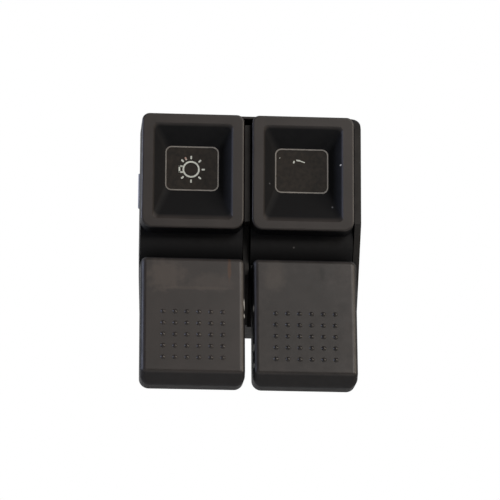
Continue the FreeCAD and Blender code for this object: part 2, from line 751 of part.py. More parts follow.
def cut_bulkhead(body):
    """Slots for the key arms and holes for the lamp bulbs."""
    sketch = new_sketch(body, "bulkhead_holes", "XZ_Plane", S.flange_thickness)
    half = S.arm_width / 2 + S.slot_gap
    for _, x in KEYS:
        low = PIVOT_Z - S.arm_tip_radius - S.slot_gap
        high = PIVOT_Z + S.arm_tip_radius + S.slot_gap
        add_rectangle(sketch, x - half, x + half, low, high)
        add_circle(sketch, x, WINDOW_Z, S.bulb_radius + S.bulb_gap)
    pocket(body, "bulkhead_cuts", sketch, S.flange_thickness)


def add_cells(body):
    """The two hollow cells of the body, one behind each key."""
    half_x = BOX_WIDTH / 2 - S.box_wall
    half_z = BOX_HEIGHT / 2 - S.box_wall
    web = S.web_thickness / 2
    sketch = new_sketch(body, "cells_outline", "XZ_Plane", -S.box_depth)
    for left, right in ((-half_x, WEB_X - web), (WEB_X + web, half_x)):
        add_rectangle(sketch, left, right, -half_z, half_z)
    pocket(body, "cells", sketch, S.box_depth - FLOOR_BEHIND, forward=True)


def add_guides(body):
    """Ribs beside each contact slider, and the posts that hold the detent springs."""
    sketch = new_sketch(body, "guides_outline", "XZ_Plane", -FLOOR_BEHIND)
    low = PIVOT_Z + S.arm_stroke / 2 - S.guide_height / 2
    inner = S.slider_width / 2 + S.slide_gap
    for _, x in KEYS:
        for side in (-1, 1):
            near_face = x + side * inner
            far_face = x + side * (inner + S.guide_thickness)
            left, right = (far_face, near_face) if side < 0 else (near_face, far_face)
            add_rectangle(sketch, left, right, low, low + S.guide_height)
    pad(body, "guides", sketch, S.guide_depth, rearward=True)
    posts = new_sketch(body, "posts_outline", "XZ_Plane", -FLOOR_BEHIND)
    for _, x in KEYS:
        face = x + inner + S.guide_thickness + S.detent_strip
        for post_low in (low, low + S.guide_height - 2 * S.guide_thickness):
            add_rectangle(posts, face, face + S.guide_thickness, post_low, post_low + 2 * S.guide_thickness)
    pad(body, "posts", posts, SPRING_BEHIND - FLOOR_BEHIND + S.detent_width, rearward=True)


def add_bosses(body):
    """Screw bosses for the rear cover, on the partition between the cells."""
    sketch = new_sketch(body, "bosses_outline", "XZ_Plane", -FLOOR_BEHIND)
    for side in (-1, 1):
        add_circle(sketch, WEB_X, side * BOSS_Z, S.boss_radius)
    pad(body, "bosses", sketch, S.box_depth - FLOOR_BEHIND, rearward=True)
    holes = new_sketch(body, "boss_holes_outline", "XZ_Plane", -S.box_depth)
    for side in (-1, 1):
        add_circle(holes, WEB_X, side * BOSS_Z, S.screw_radius + S.fit_gap)
    pocket(body, "boss_holes", holes, S.screw_length, forward=True)


def cut_clip_notches(body):
    """Shallow notches in the body's rear edge for the folded ends of the clips."""
    half = BOX_WIDTH / 2
    for name, side in (("left", -1), ("right", 1)):
        sketch = new_sketch(body, f"{name}_notch_outline", "XZ_Plane", -S.box_depth)
        edge, inner = side * half, side * (half - S.clip_fold - S.fit_gap)
        left, right = (edge, inner) if side < 0 else (inner, edge)
        add_rectangle(sketch, left, right, S.clip_z - S.clip_width / 2 - S.fit_gap,
                      S.clip_z + S.clip_width / 2 + S.fit_gap)
        pocket(body, f"{name}_notch", sketch, S.clip_thickness + S.fit_gap, forward=True)


def make_housing():
    body = new_body("housing")
    half_x, half_z = S.flange_width / 2, S.flange_height / 2
    flange = new_sketch(body, "flange_outline", "XZ_Plane", Size(0))
    add_rectangle(flange, -half_x, half_x, -half_z, half_z, S.flange_corner)
    pad(body, "flange", flange, S.flange_thickness)
    box = new_sketch(body, "box_outline", "XZ_Plane", Size(0))
    add_rectangle(box, *centred(BOX_WIDTH), *centred(BOX_HEIGHT), S.box_corner)
    pad(body, "box", box, S.box_depth, rearward=True)
    add_cells(body)
    add_plate(body, "rim", rim_outline(), RIM_OUTER_X - S.rim_thickness / 2, S.rim_thickness)
    lip = new_sketch(body, "lip_outline", "XZ_Plane", S.flange_thickness)
    add_rectangle(lip, -half_x, half_x, half_z - S.lip_thickness, half_z)
    pad(body, "lip", lip, S.lip_forward - S.flange_thickness)
    corners = new_sketch(body, "surround_corners", "XZ_Plane", S.rim_forward + 1)
    for side in (-1, 1):
        edge = side * half_x
        add_outline(corners, [
            (edge, half_z),
            (side * (half_x - S.flange_corner), half_z, S.flange_corner * -side),
            (edge, half_z - S.flange_corner),
        ])
    pocket(body, "surround_rounding", corners, S.rim_forward + 1 - S.flange_thickness)
    add_plate(body, "web", web_outline(), WEB_X, S.web_thickness)
    ear_reach = INNER_HALF - S.key_gap - S.ear_thickness / 2
    for key, x in KEYS:
        add_ear(body, f"{key}_outer_ear", x - ear_reach)
        add_ear(body, f"{key}_inner_ear", x + ear_reach)
    add_guides(body)
    add_bosses(body)
    cut_bulkhead(body)
    cut_clip_notches(body)


# Behind each key: the contact slider, its strip and the detent spring

def make_slider(side, x):
    """The carrier that the key's arm moves up and down."""
    body = new_body(f"{side}_slider")
    half = S.slider_height / 2
    block = new_sketch(body, "block_outline", "XZ_Plane", -SLIDER_BEHIND)
    add_rectangle(block, *centred(S.slider_width), PIVOT_Z - half, PIVOT_Z + half)
    pad(body, "block", block, S.slider_depth, rearward=True)
    neck = new_sketch(body, "neck_outline", "XZ_Plane", -SLIDER_BEHIND)
    add_rectangle(neck, *centred(S.arm_width + 2 * S.slide_gap), PIVOT_Z - half, PIVOT_Z + half)
    pocket(body, "neck_channel", neck, ARM_TIP_BEHIND - 1.5 * S.arm_tip_radius - SLIDER_BEHIND)
    slot = new_sketch(body, "slot_outline", "XZ_Plane", -SLIDER_BEHIND)
    reach = S.arm_tip_radius + S.slide_gap
    add_rectangle(slot, *centred(S.arm_width + 2 * S.slide_gap), PIVOT_Z - reach, PIVOT_Z + reach)
    pocket(body, "arm_slot", slot, ARM_TIP_BEHIND + reach - SLIDER_BEHIND)
    notches = new_sketch(body, "notches_outline", "XZ_Plane", -SLIDER_BEHIND)
    face = S.slider_width / 2
    for height in (PIVOT_Z, PIVOT_Z - S.arm_stroke):
        add_outline(notches, [
            (face, height - S.detent_half),
            (face, height + S.detent_half),
            (face - S.detent_depth, height),
        ])
    pocket(body, "detent_notches", notches)
    place(body, x)


def make_bridge(side, x):
    """Springy contact strip on the slider's rear face, with four contact bumps."""
    body = new_body(f"{side}_contact_bridge")
    half_x = S.slider_width / 2 - S.slide_gap
    half_z = S.slider_height / 2 - S.slide_gap
    strip = new_sketch(body, "strip_outline", "XZ_Plane", -BRIDGE_BEHIND)
    add_rectangle(strip, -half_x, half_x, PIVOT_Z - half_z, PIVOT_Z + half_z, S.bridge_bump)
    pad(body, "strip", strip, S.bridge_thickness, rearward=True)
    bumps = new_sketch(body, "bumps_outline", "XZ_Plane", -BRIDGE_BEHIND - S.bridge_thickness)
    for side_x in (-1, 1):
        for side_z in (-1, 1):
            add_circle(bumps, side_x * S.blade_spacing_x / 2, PIVOT_Z + side_z * S.blade_spacing_z / 2,
                       2 * S.bridge_bump)
    pad(body, "bumps", bumps, S.bridge_bump, rearward=True)
    place(body, x)


def make_detent(side, x):
    """Leaf spring whose bump holds the slider at either end of its travel."""
    body = new_body(f"{side}_detent_spring")
    guide_low = PIVOT_Z + S.arm_stroke / 2 - S.guide_height / 2
    post = 2 * S.guide_thickness
    outer = S.slider_width / 2 + S.slide_gap + S.guide_thickness + S.detent_strip
    flat = outer - S.detent_strip
    bump_outer = S.slider_width / 2 + S.detent_strip
    tip = S.slider_width / 2 - S.detent_depth + 2 * S.slide_gap
    strip = S.detent_strip
    low, high = guide_low + S.fit_gap, guide_low + S.guide_height
    bend = S.detent_depth
    sketch = new_sketch(body, "leaf_outline", "XZ_Plane", -SPRING_BEHIND)
    add_outline(sketch, [
        (flat, low),
        (outer, low),
        (outer, low + post),
        (bump_outer + strip, PIVOT_Z - 2 * bend),
        (tip + 1.4 * strip, PIVOT_Z),
        (bump_outer + strip, PIVOT_Z + 2 * bend),
        (outer, high - post),
        (outer, high),
        (flat, high),
        (flat, high - post),
        (bump_outer, PIVOT_Z + 2 * bend),
        (tip, PIVOT_Z),
        (bump_outer, PIVOT_Z - 2 * bend),
        (flat, low + post),
    ])
    pad(body, "leaf", sketch, S.detent_width, rearward=True)
    place(body, x)


# Lamps

def make_bulb(side, x):
    """Small capless bulb: a round glass tip on a wedge end."""
    body = new_body(f"{side}_bulb")
    radius, stem = S.bulb_radius, S.bulb_stem_radius
    shoulder = S.flange_thickness
    revolve(body, "glass", [
        (-S.bulb_forward, Size(0)),
        (S.bulb_behind, Size(0)),
        (S.bulb_behind, stem),
        (shoulder, stem),
        (Size(0), radius),
        (-S.bulb_forward + radius, radius, radius),
    ])
    place(body, x, height=WINDOW_Z)


def make_holder(side, x):
    """Twist-in bulb holder on the rear of the bulkhead."""
    body = new_body(f"{side}_bulb_holder")
    bore = S.bulb_radius + S.bulb_gap
    stem = S.bulb_stem_radius + S.fit_gap
    shoulder = S.flange_thickness
    revolve(body, "socket", [
        (FLOOR_BEHIND, S.holder_collar),
        (FLOOR_BEHIND, bore),
        (shoulder, bore),
        (shoulder + S.bulb_gap, stem),
        (S.bulb_behind + S.fit_gap, stem),
        (S.bulb_behind + S.fit_gap, Size(0)),
        (S.holder_depth, Size(0)),
        (S.holder_depth, S.holder_radius),
        (FLOOR_BEHIND + S.holder_collar_depth, S.holder_radius),
        (FLOOR_BEHIND + S.holder_collar_depth, S.holder_collar),
    ])
    lug = new_sketch(body, "grip_outline", "XZ_Plane", -S.holder_depth)
    half = S.holder_radius - S.holder_grip
    add_rectangle(lug, -half, half, -S.holder_grip / 2, S.holder_grip / 2)
    pad(body, "grip", lug, 2 * S.holder_grip, rearward=True)
    place(body, x, height=WINDOW_Z)


# The rear: terminals, cover, screws and clips

def blade_places():
    for key, x in KEYS:
        for up, side_z in (("upper", 1), ("lower", -1)):
            for out, side_x in (("left", -1), ("right", 1)):
                yield f"{key}_{up}_{out}_terminal", x + side_x * S.blade_spacing_x / 2, side_z


def make_terminal(name, x, side_z):
    """A blade with a bent contact foot that faces the slider's contact strip."""
    body = new_body(name)
    centre = PIVOT_Z + side_z * S.blade_spacing_z / 2
    outer = side_z * S.blade_foot / 2
    sketch = new_sketch(body, "side_outline", "YZ_Plane", -S.blade_width / 2)
    add_outline(sketch, [
        (CONTACT_BEHIND, centre - outer),
        (CONTACT_BEHIND + S.blade_thickness, centre - outer),
        (CONTACT_BEHIND + S.blade_thickness, centre + outer - side_z * S.blade_thickness),
        (CONTACT_BEHIND + S.blade_length, centre + outer - side_z * S.blade_thickness),
        (CONTACT_BEHIND + S.blade_length, centre + outer),
        (CONTACT_BEHIND, centre + outer),
    ])
    pad(body, "blade", sketch, S.blade_width)
    tip_y = CONTACT_BEHIND + S.blade_length
    chamfer(body, "tip", S.blade_thickness,
            lambda at, along: near(at.y, tip_y) and near(abs(along.z), 1))
    place(body, x)


def make_cover():
    """Rear cover with its locating lip, connector shroud and terminal slots."""
    body = new_body("rear_cover")
    plate = new_sketch(body, "plate_outline", "XZ_Plane", -S.box_depth)
    add_rectangle(plate, *centred(BOX_WIDTH), *centred(BOX_HEIGHT), S.box_corner)
    pad(body, "plate", plate, S.cover_thickness, rearward=True)
    half_x = BOX_WIDTH / 2 - S.box_wall - S.cover_gap
    half_z = BOX_HEIGHT / 2 - S.box_wall - S.cover_gap
    web = S.web_thickness / 2 + S.cover_gap
    lip = new_sketch(body, "lip_outline", "XZ_Plane", -S.box_depth)
    inner = BOSS_Z - S.boss_radius - S.cover_gap
    for left, right in ((-half_x, WEB_X - web), (WEB_X + web, half_x)):
        add_rectangle(lip, left, right, -inner, inner)
        add_rectangle(lip, left + S.cover_lip, right - S.cover_lip, -inner + S.cover_lip, inner - S.cover_lip)
    pad(body, "lips", lip, S.cover_lip)
    shroud = new_sketch(body, "shroud_outline", "XZ_Plane", -COVER_BEHIND)
    wall = S.shroud_wall
    half_w = (KEY_PITCH + S.blade_spacing_x + S.blade_width) / 2 + S.shroud_side_gap + wall
    half_h = (S.blade_spacing_z + S.blade_foot) / 2 + S.shroud_end_gap + wall
    add_rectangle(shroud, WEB_X - half_w, WEB_X + half_w, PIVOT_Z - half_h, PIVOT_Z + half_h,
                  S.shroud_corner + wall)
    add_rectangle(shroud, WEB_X - half_w + wall, WEB_X + half_w - wall, PIVOT_Z - half_h + wall,
                  PIVOT_Z + half_h - wall, S.shroud_corner)
    pad(body, "shroud", shroud, S.shroud_depth, rearward=True)
    slots = new_sketch(body, "slots_outline", "XZ_Plane", -COVER_BEHIND)
    half = S.blade_width / 2 + S.fit_gap
    for _, x, side_z in blade_places():
        centre = PIVOT_Z + side_z * S.blade_spacing_z / 2
        outer = centre + side_z * (S.blade_foot / 2 + S.fit_gap)
        inner_edge = centre + side_z * (S.blade_foot / 2 - S.blade_thickness - S.fit_gap)
        low, high = (inner_edge, outer) if side_z > 0 else (outer, inner_edge)
        add_rectangle(slots, x - half, x + half, low, high)
    for side in (-1, 1):
        add_circle(slots, WEB_X, side * BOSS_Z, S.screw_radius + S.screw_hole_gap)
    pocket(body, "slots", slots, S.cover_thickness, forward=True)


def make_screw(name, side):
    """Cheese-head screw that holds the rear cover."""
    body = new_body(name)
    head = COVER_BEHIND + S.screw_head_height
    tip = COVER_BEHIND - S.screw_length
    revolve(body, "turned", [
        (tip, Size(0)),
        (head, Size(0)),
        (head, S.screw_head_radius),
        (COVER_BEHIND, S.screw_head_radius),
        (COVER_BEHIND, S.screw_radius),
        (tip + S.screw_radius / 2, S.screw_radius),
        (tip, S.screw_radius / 2),
    ])
    slot = new_sketch(body, "slot_outline", "XZ_Plane", -head)
    half = S.screw_head_height / 4
    add_rectangle(slot, -S.screw_head_radius - 1, S.screw_head_radius + 1, -half, half)
    pocket(body, "slot", slot, 2 * half, forward=True)
    place(body, WEB_X, height=side * BOSS_Z)


def make_clip(name, side):
    """Spring-steel clip folded over the body's rear edge, with a barb behind the flange."""
    body = new_body(name)
    wall = side * (BOX_WIDTH / 2 + S.fit_gap)
    sheet = side * S.clip_thickness
    fold = side * (BOX_WIDTH / 2 - S.clip_fold)
    leaf_root = S.clip_seat + S.clip_leaf
    knee = S.clip_seat + S.clip_barb / 2
    barb = wall + side * S.clip_barb
    sketch = new_sketch(body, "clip_outline", "XY_Plane", S.clip_z - S.clip_width / 2)
    add_outline(sketch, [
        (fold, S.box_depth),
        (fold, S.box_depth - S.clip_thickness),
        (wall, S.box_depth - S.clip_thickness),
        (wall, leaf_root),
        (barb, knee),
        (wall + sheet, S.clip_seat),
        (wall + 2 * sheet, S.clip_seat),
        (barb + sheet, knee),
        (wall + sheet, leaf_root),
        (wall + sheet, S.box_depth),
    ])
    pad(body, "clip", sketch, S.clip_width)


make_housing()
for side, x in KEYS:
    make_key(side, x)
    make_light_guide(side, x)
    make_symbol_plate(side, x)
    make_bulb(side, x)
    make_holder(side, x)
    make_slider(side, x)
    make_bridge(side, x)
    make_detent(side, x)
for name, x, side_z in blade_places():
    make_terminal(name, x, side_z)
make_cover()
make_screw("upper_cover_screw", 1)
make_screw("lower_cover_screw", -1)
make_clip("left_retaining_clip", -1)
make_clip("right_retaining_clip", 1)

DOC.recompute()
failed = [item.Name for item in DOC.Objects if "Invalid" in item.State or "Error" in item.State]
if failed:
    raise ValueError(f"failed features: {failed}")
os.makedirs("parts", exist_ok=True)
for body in [item for item in DOC.Objects if item.TypeId == "PartDesign::Body"]:
    shape = body.Shape
    if shape.isNull() or not shape.isValid() or len(shape.Solids) != 1:
        raise ValueError(f"{body.Label} is not one valid solid")
    shape.exportStep(f"parts/{body.Label}.step")
    print(f"{body.Label}: {shape.Volume:.1f} mm3")
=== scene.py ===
# %% [markdown]
# # A twin rocker headlight switch, dressed for the camera
# The object is a dashboard switch: two dark plastic keys side by side, each with a window for a
# lamp at its top and a finger pad at its foot. The imported CAD model already has the true form of
# every moulding, so this lesson adds what CAD leaves out: the print on the windows, the handling
# marks, painted shade in the keys' recesses and over the right pad, the surface of each plastic
# and metal, and a studio to look at it in.

# %% Load the frame
import math

import bmesh
import bpy
from mathutils import Matrix, Vector


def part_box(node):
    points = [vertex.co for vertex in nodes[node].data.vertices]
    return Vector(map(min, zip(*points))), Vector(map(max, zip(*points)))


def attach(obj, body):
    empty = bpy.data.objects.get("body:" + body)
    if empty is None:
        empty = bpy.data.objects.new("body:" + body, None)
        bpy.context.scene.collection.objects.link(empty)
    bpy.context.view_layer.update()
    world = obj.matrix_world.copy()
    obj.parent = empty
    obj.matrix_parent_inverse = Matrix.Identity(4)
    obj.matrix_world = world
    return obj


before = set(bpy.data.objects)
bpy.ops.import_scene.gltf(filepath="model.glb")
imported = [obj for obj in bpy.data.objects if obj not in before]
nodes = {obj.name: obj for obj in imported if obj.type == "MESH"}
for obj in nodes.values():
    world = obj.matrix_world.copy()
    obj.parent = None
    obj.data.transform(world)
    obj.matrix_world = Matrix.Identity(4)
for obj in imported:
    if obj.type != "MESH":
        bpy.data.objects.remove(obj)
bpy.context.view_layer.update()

MM = 0.001
print("CAD nodes:", len(nodes))

# %% [markdown]
# ## The camera
# The photograph was taken from a little below the middle of the switch and a touch to its left.
# A wide lens close by could fill the picture as well, but then the edges would run together
# toward the rear. In the picture parallel edges stay nearly parallel, so this is a long lens from
# far away. Its place is given as a direction and a distance, with a small roll, so each can be
# tuned against the photograph by itself. The lamps are placed with the same function.

# %% Place the camera
AIM = Vector((-0.72, -15.5, -9.6)) * MM
VIEW_AZIMUTH, VIEW_ELEVATION, VIEW_ROLL = -4.2, -14.03, 0.26
VIEW_DISTANCE = 759 * MM
LONG_LENS = 221.3
NEAREST_SEEN = 0.01


def out_from_aim(azimuth, elevation, distance):
    """A place seen from the aim, by degrees to the right of straight ahead and degrees up."""
    around, up = math.radians(azimuth), math.radians(elevation)
    heading = Vector((math.sin(around) * math.cos(up), -math.cos(around) * math.cos(up),
                      math.sin(up)))
    return AIM + distance * heading


def facing_aim(place):
    """The turn of a camera or lamp that looks from a place to the aim."""
    return (AIM - place).to_track_quat("-Z", "Y").to_matrix()


camera_data = bpy.data.cameras.new("product_camera")
camera_data.lens = LONG_LENS
camera_data.clip_start = NEAREST_SEEN
camera = bpy.data.objects.new("product_camera", camera_data)
camera.location = out_from_aim(VIEW_AZIMUTH, VIEW_ELEVATION, VIEW_DISTANCE)
small_roll = Matrix.Rotation(math.radians(VIEW_ROLL), 3, "Z")
camera.rotation_euler = (facing_aim(camera.location) @ small_roll).to_euler()
bpy.context.scene.collection.objects.link(camera)
bpy.context.scene.camera = camera
print("Camera at", [round(value, 3) for value in camera.location])

# %% [markdown]
# ## Colours and nodes
# Colours are written as sRGB hex values, the way a paint program shows them. Blender's sockets
# take linear light, so one function turns one into the other with the sRGB standard's own curve.
# A second small function adds any node with its settings and its links, so a finish reads as a
# short list of nodes.

# %% Colour and node helpers
def linear(hex_colour):
    """The linear colour, with alpha, of an sRGB hex value."""
    channels = [int(hex_colour[start:start + 2], 16) / 255 for start in (0, 2, 4)]
    return [c / 12.92 if c <= 0.04045 else ((c + 0.055) / 1.055) ** 2.4 for c in channels] + [1.0]


def add_node(material, kind, settings=None, inputs=None):
    """Adds a node with its settings, and gives each input named a value or a link."""
    node = material.node_tree.nodes.new(kind)
    for name, value in (settings or {}).items():
        setattr(node, name, value)
    for name, value in (inputs or {}).items():
        if isinstance(value, bpy.types.NodeSocket):
            material.node_tree.links.new(value, node.inputs[name])
        else:
            node.inputs[name].default_value = value
    return node


def per_size(millimetres):
    """The texture scale at which one feature is about that many millimetres across."""
    return 1 / (millimetres * MM)


# A Mix node keeps its sockets for numbers and for colours side by side, so they go by number.
MIX_FACTOR, MIX_FIRST, MIX_SECOND, MIX_RESULT = 0, 6, 7, 2
print("A 1 mm grain has scale", per_size(1.0))

# %% [markdown]
# ## The studio
# A switch like this is photographed in a light tent: a pale floor, white all round, and soft
# lamps. Black plastic shows little but reflections, so the lamps matter more than the colours.
# The switch is held in the air, as it is when it sits in a dashboard, so the floor lies well
# below it and below the camera. A square floor could show a corner, so it is a wide disc.

# %% The floor
FLOOR_HEIGHT, FLOOR_RADIUS, FLOOR_SIDES = -0.6, 6.0, 96
floor_mesh = bmesh.new()
bmesh.ops.create_circle(floor_mesh, cap_ends=True, segments=FLOOR_SIDES, radius=FLOOR_RADIUS)
bmesh.ops.translate(floor_mesh, vec=(0, 0, FLOOR_HEIGHT), verts=floor_mesh.verts)
floor_data = bpy.data.meshes.new("studio_floor")
floor_mesh.to_mesh(floor_data)
floor_mesh.free()
floor = bpy.data.objects.new("studio_floor", floor_data)
bpy.context.scene.collection.objects.link(floor)

floor_paper = bpy.data.materials.new("floor_matt_paper")
floor_paper.use_nodes = True
floor_paper.node_tree.nodes.clear()
paper = add_node(floor_paper, "ShaderNodeBsdfPrincipled", None,
                 {"Base Color": linear("F2F2F0"), "Roughness": 0.9})
add_node(floor_paper, "ShaderNodeOutputMaterial", None, {"Surface": paper.outputs[0]})
floor_data.materials.append(floor_paper)
print("Floor at", FLOOR_HEIGHT, "m")

# %% [markdown]
# The tent's walls could be built as white sheets, but the world's colour does the same with less.
# The camera, and rays through clear plastic, see it white. Rays that light the plastic see it
# dim, because the lamps do that work. Mirrored rays see white walls behind the switch and a dim
# room behind the camera, which keeps the satin faces from turning milky.

# %% The white surround
WALL_LIGHT = 0.30
ROOM_GLOSS = 0.07
# A mirrored ray's direction goes from -1, straight to the front, to 1, straight to the rear. The
# dim room ends at the first of these two values, and the wall has its full white at the second.
ROOM_ENDS, WALL_FULL = -0.1, 0.5
world = bpy.data.worlds.new("light_tent")
world.use_nodes = True
world.node_tree.nodes.clear()
bpy.context.scene.world = world
rays = add_node(world, "ShaderNodeLightPath")
direction = add_node(world, "ShaderNodeTexCoord").outputs["Generated"]
parts = add_node(world, "ShaderNodeSeparateXYZ", None, {0: direction})
seen = add_node(world, "ShaderNodeMath", {"operation": "MAXIMUM"},
                {0: rays.outputs["Is Camera Ray"], 1: rays.outputs["Is Transmission Ray"]})
seen_or_mirrored = add_node(world, "ShaderNodeMath", {"operation": "MAXIMUM"},
                            {0: seen.outputs[0], 1: rays.outputs["Is Glossy Ray"]})
behind = add_node(world, "ShaderNodeMapRange", None,
                  {"Value": parts.outputs["Y"], "From Min": ROOM_ENDS, "From Max": WALL_FULL,
                   "To Min": ROOM_GLOSS, "To Max": 1.0})
whitest = add_node(world, "ShaderNodeMath", {"operation": "MAXIMUM"},
                   {0: behind.outputs[0], 1: seen.outputs[0]})
strength = add_node(world, "ShaderNodeMapRange", None,
                    {"Value": seen_or_mirrored.outputs[0], "To Min": WALL_LIGHT,
                     "To Max": whitest.outputs[0]})
background = add_node(world, "ShaderNodeBackground", None,
                      {"Color": linear("FFFFFF"), "Strength": strength.outputs[0]})
add_node(world, "ShaderNodeOutputWorld", None, {"Surface": background.outputs[0]})
print("Walls light the switch at", WALL_LIGHT)

# %% [markdown]
# The lamps are square softboxes, because a small lamp would draw hard bright dots on satin
# plastic. A broad one, high and to the right of the camera, lights the faces and leaves the waist
# under the frames dark. A cool one on the left and a warm one on the right draw the rounded edges.

# %% The lamps
LAMPS = (
    # name, azimuth and elevation in degrees, distance and side in metres, watts, colour
    ("softbox_high", 27, 30, 1.1, 0.45, 5.2, "FFF9F4"),
    ("softbox_left", -88, 16, 0.9, 0.25, 4.6, "D4DEFF"),
    ("softbox_right", 62, 12, 0.9, 0.25, 3.0, "FFF0DC"),
)
for name, around, up, distance, side, watts, tint in LAMPS:
    lamp_data = bpy.data.lights.new(name, "AREA")
    lamp_data.shape = "SQUARE"
    lamp_data.size = side
    lamp_data.energy = watts
    lamp_data.color = linear(tint)[:3]
    lamp = bpy.data.objects.new(name, lamp_data)
    lamp.location = out_from_aim(around, up, distance)
    lamp.rotation_euler = facing_aim(lamp.location).to_euler()
    bpy.context.scene.collection.objects.link(lamp)
bpy.context.scene.view_settings.view_transform = "Standard"
print("Lamps:", [lamp[0] for lamp in LAMPS])

# %% [markdown]
# ## What the finishes share
# Hardly any real surface has one even colour. Plastic drifts in shade where it flowed, metal where
# it tarnished and ink where it wore, and each has dull and polished smears. Both could be painted
# on an image for each piece. Noise on Object coordinates is used instead, because it has a size
# in millimetres, needs no unwrapping, and stays on its piece when the piece moves. Noise keeps
# close to its middle value, so only its middle is spread over the range that is wanted.

# %% Drifting shade and smeared gloss
NOISE_MIDDLE, SHADE_SPREAD, GLOSS_SPREAD = 0.5, 0.15, 0.2


def new_material(name):
    """An empty material, and the Object coordinates that its patterns read."""
    material = bpy.data.materials.new(name)
    material.use_nodes = True
    material.node_tree.nodes.clear()
    return material, add_node(material, "ShaderNodeTexCoord").outputs["Object"]


def drifting_shade(material, where, size, dark, light, detail=4.0):
    """A colour that drifts between two shades, in clouds of a size in millimetres."""
    cloud = add_node(material, "ShaderNodeTexNoise", None,
                     {"Vector": where, "Scale": per_size(size), "Detail": detail})
    share = add_node(material, "ShaderNodeMapRange", None,
                     {"Value": cloud.outputs["Fac"], "From Min": NOISE_MIDDLE - SHADE_SPREAD,
                      "From Max": NOISE_MIDDLE + SHADE_SPREAD})
    shade = add_node(material, "ShaderNodeMix", {"data_type": "RGBA"},
                     {MIX_FACTOR: share.outputs[0], MIX_FIRST: linear(dark),
                      MIX_SECOND: linear(light)})
    return shade.outputs[MIX_RESULT]


def smeared_gloss(material, where, size, middle, swing):
    """A roughness that swings about its middle value, in smears of a size in millimetres."""
    smear = add_node(material, "ShaderNodeTexNoise", None,
                     {"Vector": where, "Scale": per_size(size), "Detail": 3.0})
    gloss = add_node(material, "ShaderNodeMapRange", None,
                     {"Value": smear.outputs["Fac"], "From Min": NOISE_MIDDLE - GLOSS_SPREAD,
                      "From Max": NOISE_MIDDLE + GLOSS_SPREAD, "To Min": middle - swing,
                      "To Max": middle + swing})
    return gloss.outputs[0]


print("Shades drift between the noise's", NOISE_MIDDLE - SHADE_SPREAD, "and",
      NOISE_MIDDLE + SHADE_SPREAD)

# %% [markdown]
# ## Moulded plastic
# Most of the switch is injection moulded. The mould was spark eroded, which leaves a fine dull
# grain, so the surface scatters its highlight and never mirrors. The pits could be real dents in
# the mesh, but they are far smaller than a pixel, so a bump is enough. Real grain is near 0.1 mm,
# too fine to show here, so it is drawn at 0.3 mm and shallow.

# %% A helper for moulded plastic
GRAIN_SIZE, GRAIN_STRENGTH, GRAIN_DEPTH = 0.3, 0.25, 0.03 * MM
CLOUD_SIZE, SMEAR_SIZE, SMEAR_SWING = 6.0, 2.5, 0.05


def moulded_plastic(name, dark, light, roughness, ior=1.5, specular=0.5, clear=0.0,
                    grain=GRAIN_SIZE, cloud=CLOUD_SIZE):
    """Moulded plastic with a spark-eroded grain and a slow drift in shade and in gloss."""
    material, where = new_material(name)
    pits = add_node(material, "ShaderNodeTexNoise", None,
                    {"Vector": where, "Scale": per_size(grain)})
    bump = add_node(material, "ShaderNodeBump", None,
                    {"Height": pits.outputs["Fac"], "Strength": GRAIN_STRENGTH,
                     "Distance": GRAIN_DEPTH})
    shader = add_node(material, "ShaderNodeBsdfPrincipled", None, {
        "Base Color": drifting_shade(material, where, cloud, dark, light),
        "Roughness": smeared_gloss(material, where, SMEAR_SIZE, roughness, SMEAR_SWING),
        "IOR": ior, "Specular IOR Level": specular, "Transmission Weight": clear,
        "Normal": bump.outputs[0]})
    add_node(material, "ShaderNodeOutputMaterial", None, {"Surface": shader.outputs[0]})
    return material


print("Grain of", GRAIN_SIZE, "mm, clouds of", CLOUD_SIZE, "mm")

# %% [markdown]
# The housing is ABS, a deep and slightly warm black. The rear cover is black nylon and the bulb
# holders are grey nylon, which are cooler and have a faint silk. The contact sliders are acetal
# left in its natural cream, a slippery plastic with the most gloss of them all.

# %% The plastics of the body and of the parts inside
housing_plastic = moulded_plastic("housing_black_abs_moulded", "0F0D0B", "14110E", 0.66)
cover_plastic = moulded_plastic("cover_black_nylon_moulded", "141414", "1C1C1C", 0.6)
holder_plastic = moulded_plastic("holder_grey_nylon_moulded", "232425", "2B2C2D", 0.55)
slider_plastic = moulded_plastic("slider_natural_acetal_moulded", "DAD6C8", "E4E0D4", 0.42,
                                 ior=1.48)
print("Plastics:", housing_plastic.name, cover_plastic.name, slider_plastic.name)

# %% [markdown]
# ## The key moulding: rubbed black and painted shade
# The keys are one satin black ABS. Faces that thumbs and cloths reach, the frame's face and the
# finger pad, have been rubbed: they are greyer, warmer and a little smoother. The funnel, the
# waist and the sides get a deeper, faintly bluish black, which is painted shade for these recesses
# on top of the mould's dull black. The worn places could be painted on by hand. Here a mask tells
# the two apart by how far a point lies behind the nearest face, because the wear and the shade
# follow the form so exactly. The frame's face is a plane of one depth, and the pad's leans forward
# by 7 degrees, so its depth grows toward its foot.

# %% How far behind the faces
# Heights and depths on the key, in millimetres. Front is negative.
FRAME_FACE, PAD_FACE_TOP, PAD_TOP, PAD_BEVEL_TOP = -15.5, -19.8, -12.8, -41.7
PAD_LEAN = math.tan(math.radians(7))
# The pad's lean counts below a height in the waist, where neither face reaches.
LEAN_BEGINS = PAD_TOP + 1
